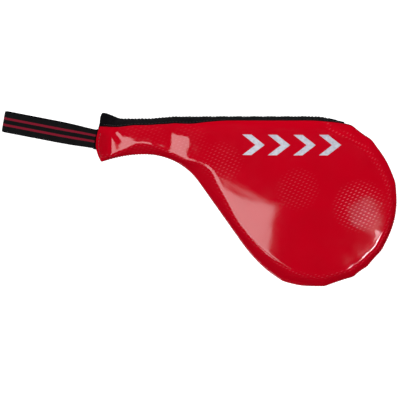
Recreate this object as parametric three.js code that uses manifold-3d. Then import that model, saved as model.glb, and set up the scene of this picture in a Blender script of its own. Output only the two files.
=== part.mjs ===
// Kick paddle: a padded strike blade shaped like a drop, with a sewn grip and an elastic wrist loop.
// The paddle lies on its back with the strike face up. Units are millimetres, +Z is up, +X runs from
// the grip to the tip. The origin is the centre of the blade's round head, on the back cover's
// underside.

import * as THREE from "three";
import { mergeVertices } from "three/addons/utils/BufferGeometryUtils.js";
import ManifoldModule from "manifold-3d";

const wasm = await ManifoldModule();
wasm.setup();

// ---------------------------------------------------------------- driving dimensions

// Plan outline of the covers
const headRadius = 107.8;
const straightTopY = 108;
const cheekStart = new THREE.Vector2(-92, -42.7);
const cheekPullOut = new THREE.Vector2(-66, -81.5);
const cheekPullIn = new THREE.Vector2(-38, -headRadius);
const neckX = -206;
const neckUnderY = 60.5;
const neckRadius = 81;
const neckEndAngle = THREE.MathUtils.degToRad(55.5);
const buttFlareRadius = 150;
const gripEndX = -150;
const buttUnderX = -260;
const buttBackTopX = -257.5;
const buttFrontTopX = -261.5;
const gripTopDip = 2.6;
const buttEarRise = 8.1;
const buttFrontDrop = 8.1;
const buttBulge = new THREE.Vector2(-273.3, 71);

// Where along X the grip and the butt change: each value or pair is where that change starts or ends
const buttFlatX = -262;
const fullHeightX = -236;
const buttLiftEndX = -235;
const buttEarEndX = -232;
const buttFrontDropEndX = -215;
const gripTopDipX = [-205, -165];
const gripBlendX = -190;

// Heights of the covers above the floor
const bladeCrown = 34.5;
const gripCrown = 36.5;
const buttCrown = 12.5;
const bladeGussetTop = 30;
const gripGussetTop = 33.5;
const buttGussetTop = 9;
const seamHeight = 8;
const buttSeamHeight = 7;
const buttLift = 3;
const shoulderBulge = 0.3;
const buttGapShare = 0.35;
const backRounding = 5;
const straightBackRounding = 2;
const backRoundingMiddle = 0.3;

// How far in from the edge the padded shoulder reaches its ridge. On the wrapped edge this changes with
// the distance along the edge from the butt's lower corner: pairs of that distance and the inset.
const wrappedRidge = [
  [0, 8], [20, 9], [38, 17], [62, 19.5], [92, 20.5], [120, 22], [140, 19.5], [176, 14], [211, 14.5],
  [235, 17], [267, 20.5], [297, 22], [334, 20.5], [350, 19.5], [418, 15], [456, 11.5], [503, 12],
  [588, 12], [645, 10],
];
const topRidgeInset = 9;
const buttRidgeInset = 7;

// Sheet materials and the gaps between pieces
const coverThickness = 1.5;
const gussetThickness = 1.2;
const gap = 0.3;
const gussetSeamDrop = 0.45;
const threadRadius = 0.35;
const seamThreadInset = 2.3;
const frontRowDrop = 3;
const backRowRise = 1.6;
const closingRowLift = 0.95;
const wrappedRowEarlyEnd = 5;
const closingRowRing = 3;

// Where the black gusset tapers out on the round head, as angles from +X
const gussetFullAngle = THREE.MathUtils.degToRad(84);
const gussetEndAngle = THREE.MathUtils.degToRad(65);
const gussetLeastHeight = 2;
const gussetBackRim = 3;
const gussetBackLiftShare = 0.6;

// Padding and stiffening inside the covers
const rearFoamTop = 15.7;
const boardThickness = 2;
const boardHeadRadius = 90;
const boardTailEndX = -195;
const gripMidY = 83;
const gripCoreMidY = 86.5;
const boardTailWidth = 20;
const boardNeckPull = [new THREE.Vector2(-122, 69), new THREE.Vector2(-112, 5)];
const boardCheekAngle = THREE.MathUtils.degToRad(200);
const gripCoreWidth = 21;
const gripCoreX = [-234, -152];
const gripCoreZ = [8.3, 24];
const foamInset = 3.4;
const foamDrop = 3.6;
const rearFoamInset = 3.7;
const rearFoamRounding = [7.2, 5.6];
const rearFoamShoulderHeight = 9;
const rearFoamLeastTopInset = 5.4;
const rearFoamTopInsetBase = 2;
const rearFoamInsetPerRidge = 0.27;
const bladeFoamStart = 0.42;
const gripPadStart = 0.66;
const foamRings = 4;

// Wrist loop: flat elastic webbing, folded in two and sewn into the butt
const strapWidth = 25.2;
const strapThickness = 1.6;
const strapLength = 115;
const strapTilt = THREE.MathUtils.degToRad(11.1);
const strapRoot = new THREE.Vector3(-267, 80.3, 6.95);
const strapRootThickness = 2.7;
const strapFloorGap = 0.5;
const strapLoopHeight = 10.8;
const strapHingeAlong = 2.4;
const strapJoinLength = 18;
const strapPartLength = 48;
const strapInnerPulls = [1.6, 2.2];
const strapInnerRise = 1;
const anchorLength = 16;
const slotDepth = 12;

// Printed mark: a row of plain chevrons
const chevronCount = 4;
const chevronPitch = 31;
const chevronSize = new THREE.Vector2(27, 25);
const chevronArm = 11;
const chevronStart = new THREE.Vector2(-86, 66);
const printThickness = 0.3;

// How finely each stretch of the outline is cut
const gripSteps = 10;
const neckSteps = 2;
const cheekLineSteps = 7;
const cheekSteps = 9;
const headSteps = 28;
const topSteps = 12;
const buttSteps = 4;
const shoulderShares = [0, 0.15, 0.32, 0.52, 0.75, 1];
const boardCurveSegments = 28;
const strapCurveSegments = 8;
const threadCurveSegments = 3;
const mergeTolerance = 1e-4;

// ---------------------------------------------------------------- materials

const redVinyl = new THREE.MeshStandardMaterial({ color: 0xc00c2c, roughness: 0.3, metalness: 0 });
const blackFabric = new THREE.MeshStandardMaterial({ color: 0x16141a, roughness: 0.9, metalness: 0 });
const blackVinyl = new THREE.MeshStandardMaterial({ color: 0x18181b, roughness: 0.5, metalness: 0 });
const greyFoam = new THREE.MeshStandardMaterial({ color: 0x3a3b3e, roughness: 1, metalness: 0 });
const whiteBoard = new THREE.MeshStandardMaterial({ color: 0xd9d9d4, roughness: 0.5, metalness: 0 });
const denseCore = new THREE.MeshStandardMaterial({ color: 0x2b2b2e, roughness: 0.8, metalness: 0 });
const blackWebbing = new THREE.MeshStandardMaterial({ color: 0x121214, roughness: 0.85, metalness: 0 });
const silverPrint = new THREE.MeshStandardMaterial({ color: 0xd0d2d8, roughness: 0.4, metalness: 0.1 });
const blackThread = new THREE.MeshStandardMaterial({ color: 0x1b1b1e, roughness: 0.7, metalness: 0 });
const redThread = new THREE.MeshStandardMaterial({ color: 0xb01028, roughness: 0.7, metalness: 0 });

// ---------------------------------------------------------------- outline of the covers

const { lerp, smoothstep } = THREE.MathUtils;

// 0 along the grip, rising to 1 where the tube is sewn flat at the butt
function collapse(x) {
  return 1 - smoothstep(x, buttFlatX, fullHeightX);
}

// 0 on the blade, 1 on the grip
function gripShare(x) {
  return 1 - smoothstep(x, gripBlendX, gripEndX);
}

// Height that a circle of the given radius falls away from its crown, this far along
function sag(radius, along) {
  return radius - Math.sqrt(radius * radius - along * along);
}

function underY(x) {
  const radius = x < neckX ? buttFlareRadius : neckRadius;
  return neckUnderY - sag(radius, x - neckX);
}

function gripTopY(x) {
  return straightTopY - gripTopDip * (1 - smoothstep(x, ...gripTopDipX));
}

function backTopY(x) {
  return gripTopY(x) + buttEarRise * (1 - smoothstep(x, buttBackTopX, buttEarEndX));
}

function frontTopY(x) {
  return gripTopY(x) - buttFrontDrop * (1 - smoothstep(x, buttFrontTopX, buttFrontDropEndX));
}

// Points from the first step to the last but one, so that the next stretch starts where this one ends
function walk(steps, place) {
  return Array.from({ length: steps }, (_, i) => place(i / steps));
}

function lineBetween(a, b) {
  return (t) => new THREE.Vector2().lerpVectors(a, b, t);
}

// The closed outline, counter-clockwise from the butt's lower corner. Both covers use the same number of
// points, so that point i of one is beside point i of the other.
function coverOutline(topY, buttTopX) {
  const neckCentre = new THREE.Vector2(neckX, neckUnderY - neckRadius);
  const neckStartAngle = Math.asin((gripEndX - neckX) / neckRadius);
  const onNeck = (angle) => new THREE.Vector2(Math.sin(angle), Math.cos(angle))
    .multiplyScalar(neckRadius)
    .add(neckCentre);
  const headBottom = new THREE.Vector2(0, -headRadius);
  const cheek = new THREE.CubicBezierCurve(cheekStart, cheekPullOut, cheekPullIn, headBottom);
  const buttTop = new THREE.Vector2(buttTopX, topY(buttTopX));
  const buttUnder = new THREE.Vector2(buttUnderX, underY(buttUnderX));
  const butt = new THREE.QuadraticBezierCurve(buttTop, buttBulge, buttUnder);
  const underAt = (t) => {
    const x = lerp(buttUnderX, gripEndX, t);
    return new THREE.Vector2(x, underY(x));
  };
  const topAt = (from, to) => (t) => {
    const x = lerp(from, to, t);
    return new THREE.Vector2(x, topY(x));
  };
  const headAt = (t) => {
    const angle = lerp(-Math.PI / 2, Math.PI / 2, t);
    return new THREE.Vector2(Math.cos(angle), Math.sin(angle)).multiplyScalar(headRadius);
  };
  return [
    ...walk(gripSteps, underAt),
    ...walk(neckSteps, (t) => onNeck(lerp(neckStartAngle, neckEndAngle, t))),
    ...walk(cheekLineSteps, lineBetween(onNeck(neckEndAngle), cheekStart)),
    ...walk(cheekSteps, (t) => cheek.getPoint(t)),
    ...walk(headSteps, headAt),
    ...walk(topSteps, topAt(0, gripEndX)),
    ...walk(gripSteps, topAt(gripEndX, buttTopX)),
    ...walk(buttSteps, (t) => butt.getPoint(t)),
  ];
}

const bladeStart = gripSteps;
const headStart = bladeStart + neckSteps + cheekLineSteps + cheekSteps;
const topStart = headStart + headSteps;
const gripTopStart = topStart + topSteps;
const buttStart = gripTopStart + gripSteps;
const outlineCount = buttStart + buttSteps;

// 1 where the side wall is the black gusset, 0 where the front cover wraps down to the back cover
function gussetShare(index) {
  if (index > buttStart || index < headStart) {
    return 0;
  }
  if (index >= topStart) {
    return 1;
  }
  const angle = lerp(-Math.PI / 2, Math.PI / 2, (index - headStart) / headSteps);
  return smoothstep(angle, gussetEndAngle, gussetFullAngle);
}

// Inset of the shoulder's ridge at one outline point
function ridgeInset(index, along) {
  if (index > buttStart) {
    return buttRidgeInset;
  }
  const next = wrappedRidge.findIndex(([distance]) => distance > along);
  if (index >= topStart || next < 0) {
    return topRidgeInset;
  }
  const [from, fromInset] = wrappedRidge[next - 1];
  const [to, toInset] = wrappedRidge[next];
  return lerp(fromInset, toInset, (along - from) / (to - from));
}

// Each outline point with its mitred inward direction and the cover heights there
function edgePoints(outline) {
  let along = 0;
  return outline.map((point, i) => {
    if (i > 0) {
      along += point.distanceTo(outline[i - 1]);
    }
    const before = outline[(i + outline.length - 1) % outline.length];
    const after = outline[(i + 1) % outline.length];
    const incoming = new THREE.Vector2().subVectors(point, before).normalize();
    const outgoing = new THREE.Vector2().subVectors(after, point).normalize();
    const inward = new THREE.Vector2(-incoming.y - outgoing.y, incoming.x + outgoing.x)
      .divideScalar(1 + incoming.dot(outgoing));
    const flat = collapse(point.x);
    const share = gussetShare(i);
    const seam = lerp(seamHeight, buttSeamHeight, flat);
    const gussetTop = lerp(lerp(bladeGussetTop, gripGussetTop, gripShare(point.x)), buttGussetTop, flat);
    return {
      point,
      inward,
      share,
      seam,
      rim: lerp(seam, gussetTop, share),
      crown: lerp(lerp(bladeCrown, gripCrown, gripShare(point.x)), buttCrown, flat),
      lift: buttLift * (1 - smoothstep(point.x, buttFlatX, buttLiftEndX)),
      ridge: ridgeInset(i, along),
      gapScale: lerp(1, buttGapShare, flat),
    };
  });
}

const frontEdge = edgePoints(coverOutline(frontTopY, buttFrontTopX));
const backEdge = edgePoints(coverOutline(backTopY, buttBackTopX));

function insetPoint(edge, inset, height) {
  const x = edge.point.x + edge.inward.x * inset;
  const y = edge.point.y + edge.inward.y * inset;
  return new THREE.Vector3(x, y, height);
}

// A point on the padded shoulder, from the rim at share 0 to the ridge at share 1. sideGap and dropGap
// move it inside the outer surface.
function shoulderPoint(edge, share, sideGap, dropGap) {
  const inset = edge.ridge * share + sideGap * (1 - share) * edge.gapScale;
  const rise = (edge.crown - edge.rim) * share * (1 + shoulderBulge * (1 - share));
  const drop = dropGap * lerp(share, 1, edge.share);
  return insetPoint(edge, inset, edge.rim + rise - drop);
}

// ---------------------------------------------------------------- solids from rings

function range(from, to) {
  return Array.from({ length: to - from + 1 }, (_, i) => from + i);
}

// Triangles of a simple polygon, counter-clockwise seen from above, as indices into its points
function fillPolygon(points, indices) {
  const contour = indices.map((i) => new THREE.Vector2(points[i].x, points[i].y));
  return THREE.ShapeUtils.triangulateShape(contour, [])
    .map((face) => face.map((corner) => indices[corner]));
}

// The whole outline is filled in three parts, so that the grip's cross-section stays straight: the
// butt, a ladder of quads along the grip, and the blade.
function fillOutline(points) {
  const faces = fillPolygon(points, [...range(buttStart, outlineCount - 1), 0]);
  for (let i = 0; i < gripSteps; i += 1) {
    const topOuter = buttStart - i;
    const topInner = topOuter - 1;
    faces.push([i, i + 1, topInner], [i, topInner, topOuter]);
  }
  return [...faces, ...fillPolygon(points, range(bladeStart, gripTopStart))];
}

function fillAll(points) {
  return fillPolygon(points, range(0, points.length - 1));
}

// A closed solid from rings of equal length. The first ring's cap faces up and the last one's down.
function ringSolid(rings, fill) {
  const count = rings[0].length;
  const faces = [];
  fill(rings[0]).forEach((face) => faces.push(face));
  for (let r = 0; r < rings.length - 1; r += 1) {
    for (let i = 0; i < count; i += 1) {
      const a = r * count + i;
      const b = r * count + ((i + 1) % count);
      faces.push([a, a + count, b + count], [a, b + count, b]);
    }
  }
  const last = (rings.length - 1) * count;
  fill(rings[rings.length - 1]).forEach(([a, b, c]) => faces.push([last + a, last + c, last + b]));
  const geometry = new THREE.BufferGeometry().setFromPoints(rings.flat());
  geometry.setIndex(faces.flat());
  geometry.computeVertexNormals();
  return geometry;
}

function toManifold(geometry) {
  const bare = geometry.clone();
  bare.deleteAttribute("normal");
  bare.deleteAttribute("uv");
  const merged = mergeVertices(bare, mergeTolerance);
  return new wasm.Manifold(new wasm.Mesh({
    numProp: 3,
    vertProperties: new Float32Array(merged.attributes.position.array),
    triVerts: new Uint32Array(merged.index.array),
  }));
}

function cut(geometry, tool) {
  const mesh = toManifold(geometry).subtract(toManifold(tool)).getMesh();
  const result = new THREE.BufferGeometry();
  result.setAttribute("position", new THREE.BufferAttribute(mesh.vertProperties, 3));
  result.setIndex(new THREE.BufferAttribute(mesh.triVerts, 1));
  result.computeVertexNormals();
  return result;
}

// ---------------------------------------------------------------- placing along the strap

// The strap's own axes: X along it away from the butt, Y up, Z across its width
function placeOnStrap(geometry) {
  const along = new THREE.Vector3(-Math.cos(strapTilt), Math.sin(strapTilt), 0);
  const up = new THREE.Vector3(0, 0, 1);
  const across = new THREE.Vector3().crossVectors(along, up);
  const frame = new THREE.Matrix4().makeBasis(along, up, across);
  frame.setPosition(strapRoot.x, strapRoot.y, 0);
  return geometry.applyMatrix4(frame);
}

function strapBox(fromAlong, toAlong, lowZ, highZ, width) {
  const box = new THREE.BoxGeometry(toAlong - fromAlong, highZ - lowZ, width);
  box.translate((fromAlong + toAlong) / 2, (lowZ + highZ) / 2, 0);
  return placeOnStrap(box);
}

const strapLowZ = strapRoot.z - strapRootThickness / 2;
const strapHighZ = strapRoot.z + strapRootThickness / 2;

function strapSlot() {
  return strapBox(-slotDepth, slotDepth, strapLowZ - gap, strapHighZ + gap, strapWidth + 2 * gap);
}

// ---------------------------------------------------------------- covers

function frontCover() {
  const outer = [...shoulderShares].reverse()
    .map((share) => frontEdge.map((edge) => shoulderPoint(edge, share, 0, 0)));
  const inner = shoulderShares
    .map((share) => frontEdge.map((edge) => shoulderPoint(edge, share, coverThickness, coverThickness)));
  return cut(ringSolid([...outer, ...inner], fillOutline), strapSlot());
}

// Height of the back cover's rim where the gusset stands on it
function gussetLowHeight(edge) {
  return gussetBackRim + edge.lift * gussetBackLiftShare;
}

// A shallow tray whose wall meets the front cover's rim, and the gusset's lower edge on the straight side
function backCover() {
  const rimHeight = (edge) => lerp(edge.seam - gap, gussetLowHeight(edge), edge.share);
  const rounding = (edge) => lerp(backRounding, straightBackRounding, edge.share) * edge.gapScale;
  const ring = (insetOf, heightOf) => backEdge
    .map((edge) => insetPoint(edge, insetOf(edge), heightOf(edge)));
  const rings = [
    ring((edge) => rounding(edge) + coverThickness, (edge) => edge.lift + coverThickness),
    ring(() => coverThickness, rimHeight),
    ring(() => 0, rimHeight),
    ring(
      (edge) => rounding(edge) * backRoundingMiddle,
      (edge) => lerp(edge.lift, rimHeight(edge), backRoundingMiddle),
    ),
    ring(rounding, (edge) => edge.lift),
  ];
  return cut(ringSolid(rings, fillOutline), strapSlot());
}

// The narrow band along the straight side, between the two covers. At the butt it folds outwards and
// lies nearly flat, as an ear beside the strap.
function topGusset() {
  const indices = range(0, outlineCount - 1)
    .filter((i) => i <= buttStart && frontEdge[i].rim - frontEdge[i].seam > gussetLeastHeight);
  const sections = indices.map((i) => {
    const front = frontEdge[i];
    const back = backEdge[i];
    const topHeight = front.rim - gussetSeamDrop / front.gapScale;
    const lowHeight = lerp(back.seam, gussetLowHeight(back), back.share) + gussetSeamDrop;
    return [
      insetPoint(front, 0, topHeight),
      insetPoint(front, gussetThickness * front.gapScale, topHeight - gussetThickness),
      insetPoint(back, gussetThickness, lowHeight),
      insetPoint(back, 0, lowHeight),
    ];
  });
  const corners = sections[0].length;
  const faces = [[0, 1, 2], [0, 2, 3]];
  for (let s = 0; s < sections.length - 1; s += 1) {
    for (let c = 0; c < corners; c += 1) {
      const a = s * corners + c;
      const b = s * corners + ((c + 1) % corners);
      faces.push([a, b + corners, b], [a, a + corners, b + corners]);
    }
  }
  const last = (sections.length - 1) * corners;
  faces.push([last, last + 2, last + 1], [last, last + 3, last + 2]);
  const geometry = new THREE.BufferGeometry().setFromPoints(sections.flat());
  geometry.setIndex(faces.flat());
  geometry.computeVertexNormals();
  return geometry;
}

// ---------------------------------------------------------------- padding and stiffening

// Outline points beside the blade, and beside the grip as far as its full height lasts
const flattenedSteps = 2;
const bladeIndices = range(bladeStart + 1, gripTopStart - 1);
const gripIndices = [
  ...range(flattenedSteps, gripSteps),
  ...range(gripTopStart, buttStart - flattenedSteps),
];

// Padding under the front cover: its top follows the padded shoulder and its underside is flat
function shoulderFoam(indices, wrappedStart, lowHeight) {
  const edges = indices.map((i) => frontEdge[i]);
  const ringAt = (step) => edges.map((edge) => {
    const start = wrappedStart * (1 - edge.share);
    return shoulderPoint(edge, lerp(start, 1, step / foamRings), foamInset, foamDrop);
  });
  const rings = range(0, foamRings).reverse().map(ringAt);
  const lowest = ringAt(0).map((point) => new THREE.Vector3(point.x, point.y, lowHeight));
  return ringSolid([...rings, lowest], fillAll);
}

// Padding on the back cover, from pairs of inset and height listed from the top down. An inset is the
// same all round, or a function of the edge point.
function rearFoam(indices, profile) {
  const ringAt = ([inset, height]) => indices.map((i) => {
    const edge = frontEdge[i];
    return insetPoint(edge, typeof inset === "function" ? inset(edge) : inset, height);
  });
  return ringSolid(profile.map(ringAt), fillAll);
}

const boardLow = rearFoamTop + gap;
const boardHigh = boardLow + boardThickness;
const rearFoamFloor = coverThickness + gap;

const [roundedInset, roundedHeight] = rearFoamRounding;

// The foam's top edge stays behind the sloping shoulder of the front cover
function rearFoamTopInset(edge) {
  return Math.max(rearFoamLeastTopInset, rearFoamTopInsetBase + rearFoamInsetPerRidge * edge.ridge);
}

function bladeRearFoam() {
  return rearFoam(bladeIndices, [
    [rearFoamTopInset, rearFoamTop],
    [rearFoamInset, rearFoamShoulderHeight],
    [rearFoamInset, roundedHeight],
    [roundedInset, rearFoamFloor],
  ]);
}

function gripRearFoam() {
  return rearFoam(gripIndices, [
    [rearFoamInset, gripCoreZ[0] - gap],
    [rearFoamInset, roundedHeight],
    [roundedInset, rearFoamFloor],
  ]);
}

// Thin flexible board between the two foams, with a tail that runs into the grip core
function stiffenerBoard() {
  const shape = new THREE.Shape();
  const tailLow = gripMidY - boardTailWidth / 2;
  const tailHigh = gripMidY + boardTailWidth / 2;
  const cheekX = boardHeadRadius * Math.cos(boardCheekAngle);
  const cheekY = boardHeadRadius * Math.sin(boardCheekAngle);
  const [pullOut, pullIn] = boardNeckPull;
  shape.moveTo(boardTailEndX, tailLow);
  shape.lineTo(gripEndX, tailLow);
  shape.bezierCurveTo(pullOut.x, pullOut.y, pullIn.x, pullIn.y, cheekX, cheekY);
  shape.absarc(0, 0, boardHeadRadius, boardCheekAngle, Math.PI * 2.5, false);
  shape.lineTo(gripEndX, tailHigh);
  shape.lineTo(boardTailEndX, tailHigh);
  const board = new THREE.ExtrudeGeometry(shape, {
    depth: boardThickness,
    bevelEnabled: false,
    curveSegments: boardCurveSegments,
  });
  return board.translate(0, 0, boardLow);
}

// Dense bar that gives the grip its body. The board's tail sits in its slot.
function gripCore() {
  const [farX, nearX] = gripCoreX;
  const [lowZ, highZ] = gripCoreZ;
  const slotEndX = boardTailEndX - gap;
  const shape = new THREE.Shape();
  shape.moveTo(farX, lowZ);
  shape.lineTo(nearX, lowZ);
  shape.lineTo(nearX, boardLow - gap);
  shape.lineTo(slotEndX, boardLow - gap);
  shape.lineTo(slotEndX, boardHigh + gap);
  shape.lineTo(nearX, boardHigh + gap);
  shape.lineTo(nearX, highZ);
  shape.lineTo(farX, highZ);
  const core = new THREE.ExtrudeGeometry(shape, { depth: gripCoreWidth, bevelEnabled: false });
  core.rotateX(Math.PI / 2);
  return core.translate(0, gripCoreMidY + gripCoreWidth / 2, 0);
}

// ---------------------------------------------------------------- wrist strap

// Side view of the folded webbing: the two layers meet at the butt and part into a flat loop. The root
// is rounded about the line that the loop swings on.
function wristStrap() {
  const lowZ = strapFloorGap;
  const highZ = strapFloorGap + strapLoopHeight;
  const outerRadius = strapLoopHeight / 2;
  const innerRadius = outerRadius - strapThickness;
  const foldX = strapLength - outerRadius;
  const midZ = lowZ + outerRadius;
  const bend = strapPartLength / 3;
  const side = new THREE.Shape();
  side.moveTo(strapHingeAlong, strapLowZ);
  side.bezierCurveTo(bend, strapLowZ, strapPartLength - bend, lowZ, strapPartLength, lowZ);
  side.lineTo(foldX, lowZ);
  side.absarc(foldX, midZ, outerRadius, -Math.PI / 2, Math.PI / 2, false);
  side.lineTo(strapPartLength, highZ);
  side.bezierCurveTo(strapPartLength - bend, highZ, bend, strapHighZ, strapHingeAlong, strapHighZ);
  side.absarc(strapHingeAlong, strapRoot.z, strapRootThickness / 2, Math.PI / 2, Math.PI * 1.5, false);
  const insideHigh = highZ - strapThickness;
  const insideLow = lowZ + strapThickness;
  const [rootPull, loopPull] = strapInnerPulls.map((pull) => bend * pull);
  const rootHigh = strapRoot.z + strapInnerRise;
  const rootLow = strapRoot.z - strapInnerRise;
  const inside = new THREE.Path();
  inside.moveTo(strapJoinLength, strapRoot.z);
  inside.bezierCurveTo(rootPull, rootHigh, loopPull, insideHigh, strapPartLength, insideHigh);
  inside.lineTo(foldX, insideHigh);
  inside.absarc(foldX, midZ, innerRadius, Math.PI / 2, -Math.PI / 2, true);
  inside.lineTo(strapPartLength, insideLow);
  inside.bezierCurveTo(loopPull, insideLow, rootPull, rootLow, strapJoinLength, strapRoot.z);
  side.holes.push(inside);
  const strap = new THREE.ExtrudeGeometry(side, {
    depth: strapWidth,
    bevelEnabled: false,
    curveSegments: strapCurveSegments,
  });
  strap.translate(0, 0, -strapWidth / 2);
  return placeOnStrap(strap);
}

function strapAnchor() {
  return strapBox(-anchorLength, 0, strapLowZ, strapHighZ, strapWidth);
}

// ---------------------------------------------------------------- stitching

function threadAlong(points) {
  const round = new THREE.Shape();
  round.absarc(0, 0, threadRadius, 0, Math.PI * 2, false);
  return new THREE.ExtrudeGeometry(round, {
    steps: 2 * (points.length - 1),
    curveSegments: threadCurveSegments,
    bevelEnabled: false,
    extrudePath: new THREE.CatmullRomCurve3(points),
  });
}

function seamThread(edges, from, to, heightOf) {
  const points = edges
    .slice(from, to)
    .map((edge) => insetPoint(edge, seamThreadInset, heightOf(edge)));
  return threadAlong(points);
}

// The hidden rows end where the grip is flattened, and where the gusset tapers out on the head
const gussetRow = [topStart - 1, buttStart - flattenedSteps];
const wrappedRow = [flattenedSteps, topStart - wrappedRowEarlyEnd];

// The closing row across the butt, which also holds the strap, lies on the front cover
function buttClosingThread() {
  const rowShare = shoulderShares[closingRowRing];
  const points = range(buttStart, outlineCount)
    .map((i) => frontEdge[i % outlineCount])
    .map((edge) => shoulderPoint(edge, rowShare, 0, 0))
    .map((point) => point.setZ(point.z + closingRowLift));
  return threadAlong(points);
}

// ---------------------------------------------------------------- printed mark

function chevron(index) {
  const { x: width, y: height } = chevronSize;
  const shape = new THREE.Shape();
  shape.moveTo(0, 0);
  shape.lineTo(chevronArm, 0);
  shape.lineTo(width, height / 2);
  shape.lineTo(chevronArm, height);
  shape.lineTo(0, height);
  shape.lineTo(width - chevronArm, height / 2);
  const plate = new THREE.ExtrudeGeometry(shape, { depth: printThickness, bevelEnabled: false });
  return plate.translate(chevronStart.x + index * chevronPitch, chevronStart.y, bladeCrown + gap);
}

// ---------------------------------------------------------------- assembly

const paddle = new THREE.Group();

function add(name, geometry, material) {
  const mesh = new THREE.Mesh(geometry, material);
  mesh.name = name;
  paddle.add(mesh);
}

add("front_cover", frontCover(), redVinyl);
add("top_gusset", topGusset(), blackFabric);
add("back_cover", backCover(), blackVinyl);
add("front_foam", shoulderFoam(bladeIndices, bladeFoamStart, boardHigh + gap), greyFoam);
add("rear_foam", bladeRearFoam(), greyFoam);
add("stiffener_board", stiffenerBoard(), whiteBoard);
add("grip_core", gripCore(), denseCore);
add("grip_pad_front", shoulderFoam(gripIndices, gripPadStart, gripCoreZ[1] + gap), greyFoam);
add("grip_pad_rear", gripRearFoam(), greyFoam);
add("wrist_strap", wristStrap(), blackWebbing);
add("strap_anchor", strapAnchor(), blackWebbing);
add("seam_thread_gusset_front",
  seamThread(frontEdge, ...gussetRow, (edge) => edge.rim - frontRowDrop), blackThread);
add("seam_thread_gusset_back",
  seamThread(backEdge, ...gussetRow, () => gussetBackRim + backRowRise), blackThread);
add("seam_thread_wrapped_side",
  seamThread(frontEdge, ...wrappedRow, (edge) => edge.seam), redThread);
add("butt_closing_thread", buttClosingThread(), redThread);
for (let i = 0; i < chevronCount; i += 1) {
  add(`print_chevron_${i + 1}`, chevron(i), silverPrint);
}

export default paddle;
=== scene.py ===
"""Kick paddle: gloss vinyl covers over foam, a black fabric gusset and an elastic wrist loop.

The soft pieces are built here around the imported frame. Shapes are worked out in millimetres, in the
frame's own axes (+X from the grip to the tip, +Z out of the strike face), and turned into metres when
a mesh is made.
"""

import math

import bpy
import numpy as np
from mathutils import Matrix, Vector, geometry
from mathutils.bvhtree import BVHTree


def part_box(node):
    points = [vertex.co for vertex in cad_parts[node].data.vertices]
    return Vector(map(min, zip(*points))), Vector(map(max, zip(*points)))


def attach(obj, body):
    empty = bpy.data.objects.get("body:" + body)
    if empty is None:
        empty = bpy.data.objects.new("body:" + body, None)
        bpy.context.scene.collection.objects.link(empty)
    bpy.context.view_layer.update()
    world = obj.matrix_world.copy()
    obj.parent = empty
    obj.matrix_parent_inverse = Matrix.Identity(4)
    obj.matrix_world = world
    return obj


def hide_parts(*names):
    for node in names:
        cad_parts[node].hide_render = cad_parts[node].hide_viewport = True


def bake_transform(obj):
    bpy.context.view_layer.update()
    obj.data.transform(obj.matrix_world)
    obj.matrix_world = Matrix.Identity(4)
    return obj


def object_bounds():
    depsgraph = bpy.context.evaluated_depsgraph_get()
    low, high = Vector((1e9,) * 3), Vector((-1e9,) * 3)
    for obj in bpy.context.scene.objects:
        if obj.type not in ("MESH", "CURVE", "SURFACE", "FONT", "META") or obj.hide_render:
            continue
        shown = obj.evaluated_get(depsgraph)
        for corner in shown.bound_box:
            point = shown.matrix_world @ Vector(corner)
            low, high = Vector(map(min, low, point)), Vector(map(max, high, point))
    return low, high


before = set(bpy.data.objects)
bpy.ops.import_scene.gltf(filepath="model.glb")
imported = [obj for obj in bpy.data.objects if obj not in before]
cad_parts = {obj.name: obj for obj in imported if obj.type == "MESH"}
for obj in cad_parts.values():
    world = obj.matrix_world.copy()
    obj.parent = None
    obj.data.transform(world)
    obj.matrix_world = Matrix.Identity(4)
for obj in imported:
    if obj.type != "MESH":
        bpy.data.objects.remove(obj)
cad_low, cad_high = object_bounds()

MM = 0.001

# ---- dimensions, in millimetres


def box_mm(node):
    """A CAD node's lowest and highest corners, in millimetres."""
    low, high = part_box(node)
    return np.array(low) / MM, np.array(high) / MM


_, front_high = box_mm("front_cover")
strap_low, strap_high = box_mm("wrist_strap")

# Plan outline, as in the CAD covers
HEAD_RADIUS = front_high[0]
STRAIGHT_TOP_Y = front_high[1]
CHEEK = [(-92, -42.7), (-66, -81.5), (-38, -HEAD_RADIUS), (0, -HEAD_RADIUS)]
NECK_X = -206
NECK_UNDER_Y = 60.5
NECK_RADIUS = 81
NECK_END_ANGLE = math.radians(55.5)
BUTT_FLARE_RADIUS = 150
GRIP_END_X = -150
BUTT_UNDER_X = -260
BUTT_BACK_TOP_X = -257.5
BUTT_FRONT_TOP_X = -261.5
GRIP_TOP_DIP = 2.6
BUTT_EAR_RISE = 8.1
BUTT_FRONT_DROP = 8.1
FRONT_TOP_DROP = 2.5
FRONT_TOP_DIP = 1.5
FRONT_TOP_DIP_X = (-152, 16)
FRONT_TOP_DROP_X = (-250, -222, -148, -100)
BUTT_BULGE = (-273.3, 71)
BUTT_COLLAPSE_X = (-262, -236)
TOP_COLLAPSE_X = (-264, -245)
GRIP_SHARE_START_X = -190
GRIP_TOP_DIP_X = (-205, -165)
BUTT_EAR_END_X = -232
BUTT_FRONT_DROP_END_X = -215
OUTLINE_SAMPLES = 300

# How far round the head's half circle the front cover wraps down to the seam
WRAPPED_HEAD_SHARE = 165 / 180

# Heights, as in the CAD covers
BLADE_CROWN = 34.5
GRIP_CROWN = front_high[2]
BUTT_CROWN = 12.5
BLADE_GUSSET_TOP = 30
GRIP_GUSSET_TOP = 33.5
BUTT_GUSSET_TOP = 9
SEAM_HEIGHT = 8
BUTT_SEAM_HEIGHT = 7
BUTT_LIFT = 3
BUTT_LIFT_X = (-262, -235)
BUTT_RIM_LIFT_SHARE = 0.6
GUSSET_FULL_ANGLE = math.radians(84)
GUSSET_END_ANGLE = math.radians(65)
GUSSET_BACK_RIM = 3

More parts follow.
